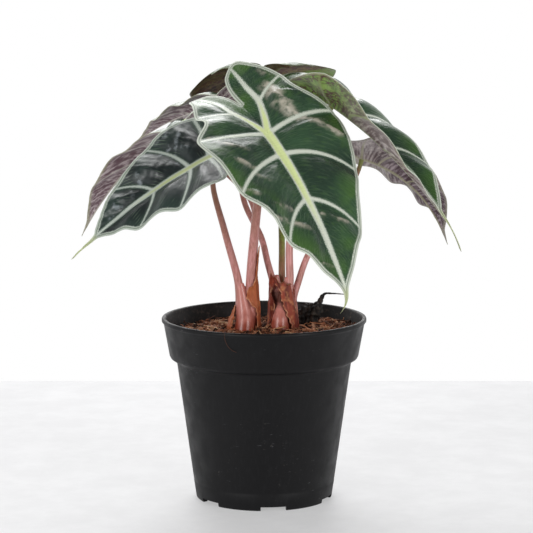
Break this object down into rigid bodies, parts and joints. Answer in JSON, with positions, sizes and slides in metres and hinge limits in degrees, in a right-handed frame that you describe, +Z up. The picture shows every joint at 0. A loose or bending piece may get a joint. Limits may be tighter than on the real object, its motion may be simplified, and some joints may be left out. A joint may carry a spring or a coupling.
{
  "type": "potted polly alocasia",
  "caption": "Alocasia plant with arrow-shaped, pale-veined leaves on pink stalks, growing in peat in a round black nursery pot.",
  "frame": {"origin": "middle of the pot's base, on the surface that it stands on", "axes": "+Z up along the pot's axis; -Y towards the viewer's side, where the front leaf hangs; +X to the viewer's right"},
  "size_m": [0.2205, 0.2292, 0.2565],
  "materials": {
    "pot_plastic": "satin black moulded polypropylene with a little dust",
    "peat": null,
    "crown_skin": null,
    "sheath_paper": "thin dry brown sheath, torn and papery",
    "stalk_pink": null,
    "stalk_green": null,
    "blade": null,
    "withered": "dry black withered leaf",
    "straw_fibre": "dry straw fibre"
  },
  "bodies": {
    "root": {"pot": "pot_plastic", "soil": "peat", "crown_left": "crown_skin", "crown_right": "crown_skin", "sheath_left": "sheath_paper", "sheath_front": "sheath_paper", "sheath_right": "sheath_paper", "stalk_left_front": "stalk_pink", "stalk_front": "stalk_pink", "stalk_left_rear": "stalk_pink", "stalk_upper_left": "stalk_pink", "stalk_rear": "stalk_green", "stalk_right": "stalk_pink", "stalk_right_rear": "stalk_pink", "blade_front": "blade", "blade_left_front": "blade", "blade_left_rear": "blade", "blade_upper_left": "blade", "blade_rear": "blade", "blade_right": "blade", "blade_right_rear": "blade", "withered_leaf": "withered", "straw": "straw_fibre"}
  },
  "joints": []
}
